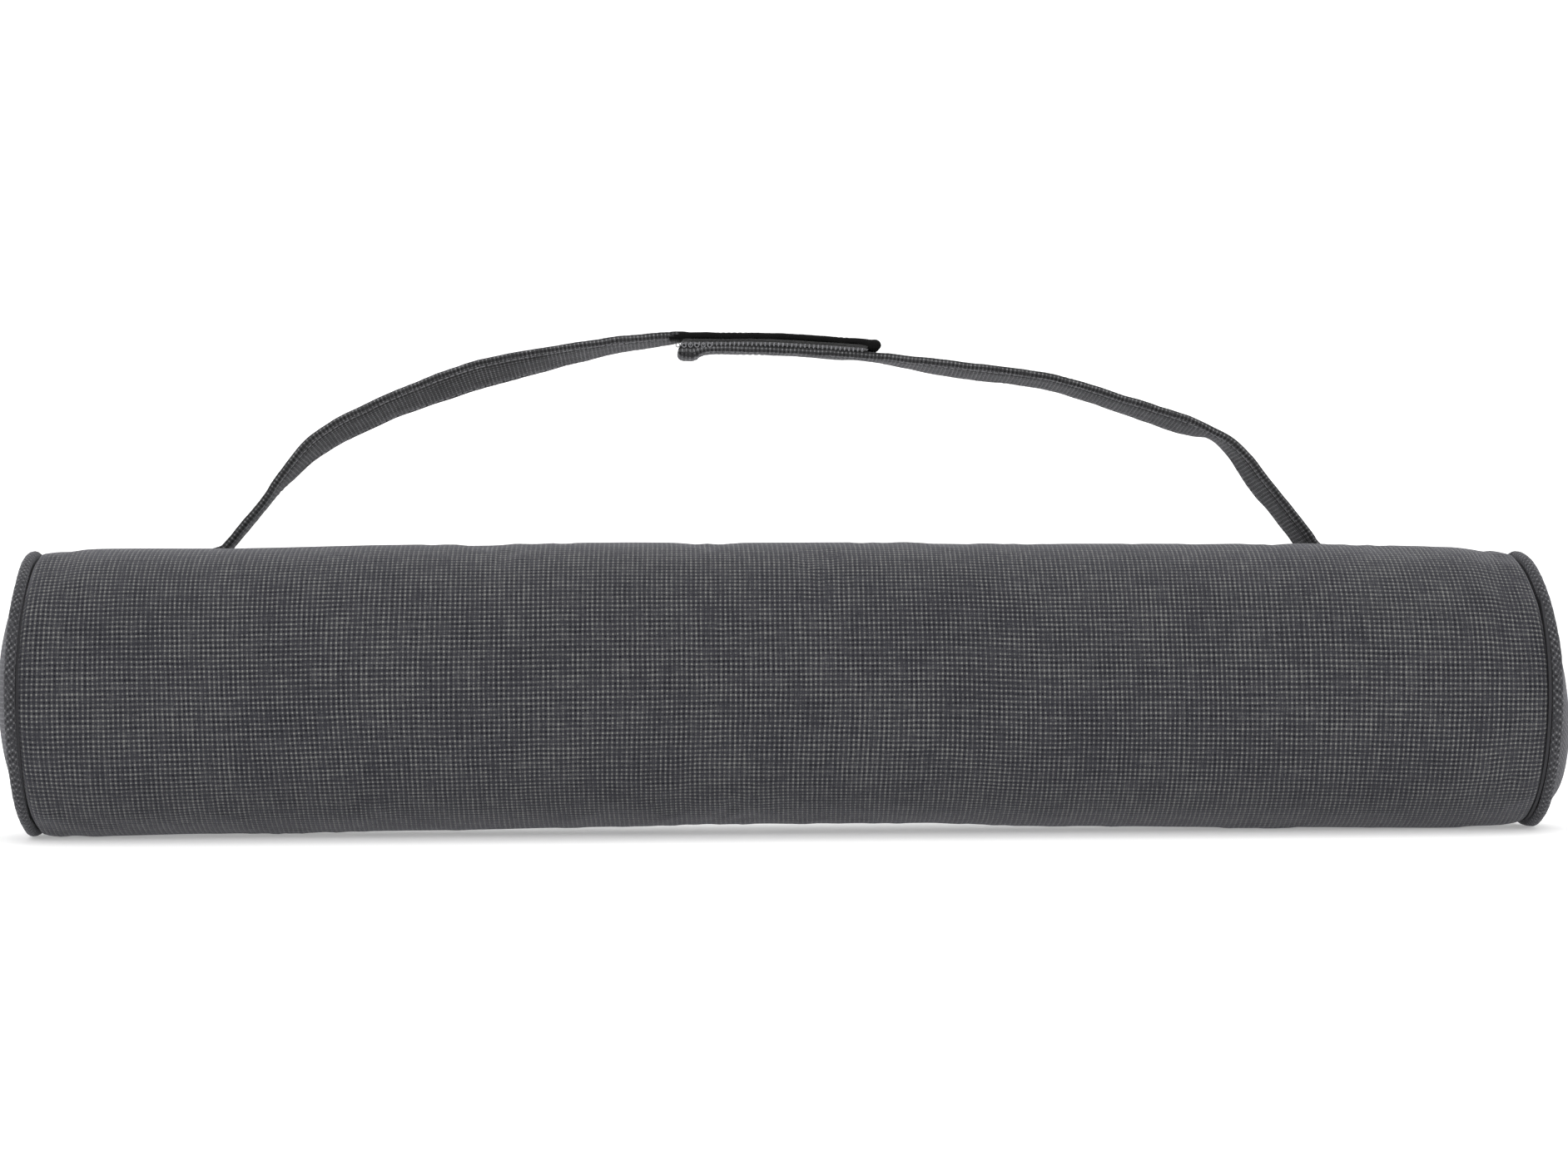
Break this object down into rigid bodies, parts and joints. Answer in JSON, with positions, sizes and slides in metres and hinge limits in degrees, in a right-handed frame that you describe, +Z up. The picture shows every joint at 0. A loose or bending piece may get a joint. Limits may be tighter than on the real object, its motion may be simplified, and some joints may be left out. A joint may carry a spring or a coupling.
{
  "type": "rope storage bag",
  "caption": "Padded cloth cylinder bag with piped ends, a zipped mouth in its back and a carrying strap in two halves joined by hook-and-loop.",
  "frame": {"origin": "middle of the flat base that the bag lies on", "axes": "+X along the bag, +Y to its back where the zip is, +Z up to the carrying strap"},
  "size_m": [0.648, 0.1234, 0.2096],
  "materials": {
    "woven_cloth": "coarse two-tone charcoal outdoor weave",
    "strap_cloth": "the same charcoal weave, folded and edge-stitched",
    "foam": "closed-cell foam sheet",
    "lining_cloth": "plain coated lining",
    "binding_tape": "woven narrow tape",
    "zip_teeth": "polyester coil",
    "zip_metal": "black enamel",
    "hook_tape": "black hook tape",
    "loop_tape": "grey loop pile tape"
  },
  "bodies": {
    "bag": {"outer_panel": "woven_cloth", "wall_padding": "foam", "lining_sleeve": "lining_cloth", "end_panel_left": "woven_cloth", "end_stiffener_left": "foam", "end_lining_left": "lining_cloth", "piping_left": "woven_cloth", "seam_binding_left": "binding_tape", "zip_end_tape_left": "binding_tape", "zip_end_teeth_left": "zip_teeth", "zip_stop_left": "zip_metal", "strap_foot_left": "strap_cloth", "end_panel_right": "woven_cloth", "end_stiffener_right": "foam", "end_lining_right": "lining_cloth", "piping_right": "woven_cloth", "seam_binding_right": "binding_tape", "zip_end_tape_right": "binding_tape", "zip_end_teeth_right": "zip_teeth", "zip_stop_right": "zip_metal", "strap_foot_right": "strap_cloth"},
    "mouth_upper": {"upper_lip": "woven_cloth", "upper_lip_padding": "foam", "upper_lip_lining": "lining_cloth", "upper_mouth_facing": "binding_tape", "upper_zip_tape": "binding_tape", "upper_zip_teeth": "zip_teeth"},
    "mouth_lower": {"lower_lip": "woven_cloth", "lower_lip_padding": "foam", "lower_lip_lining": "lining_cloth", "lower_mouth_facing": "binding_tape", "lower_zip_tape": "binding_tape", "lower_zip_teeth": "zip_teeth"},
    "slider": {"zip_slider": "zip_metal"},
    "pull": {"zip_pull": "zip_metal"},
    "left_strap_half": {"strap_left": "strap_cloth", "hook_tongue": "hook_tape", "hook_pad": "hook_tape"},
    "right_strap_half": {"strap_right": "strap_cloth", "loop_pad": "loop_tape"}
  },
  "joints": [
    {"name": "upper_lip_bend", "type": "hinge", "parent": "bag", "child": "mouth_upper", "pos_m": [0, 0.03707, 0.10744], "axis": [1, 0, 0], "range_deg": [0, 60]},
    {"name": "lower_lip_bend", "type": "hinge", "parent": "bag", "child": "mouth_lower", "pos_m": [0, 0.05633, 0.03559], "axis": [-1, 0, 0], "range_deg": [0, 60]},
    {"name": "zip_travel", "type": "slide", "parent": "bag", "child": "slider", "axis": [-1, 0, 0], "range_m": [0, 0.46]},
    {"name": "pull_flip", "type": "hinge", "parent": "slider", "child": "pull", "pos_m": [0.23, 0.06047, 0.0752], "axis": [0, -0.2588, 0.9659], "range_deg": [0, 170]},
    {"name": "left_half_lift", "type": "hinge", "parent": "bag", "child": "left_strap_half", "pos_m": [-0.2355, 0.02713, 0.12204], "axis": [0, -1, 0], "range_deg": [0, 100]},
    {"name": "right_half_lift", "type": "hinge", "parent": "bag", "child": "right_strap_half", "pos_m": [0.2266, 0.02713, 0.12204], "axis": [0, 1, 0], "range_deg": [0, 65]}
  ],
  "couplings": [
    {"joint": "lower_lip_bend", "follows": "upper_lip_bend", "ratio": 1},
    {"joint": "right_half_lift", "follows": "left_half_lift", "ratio": 0.65}
  ]
}
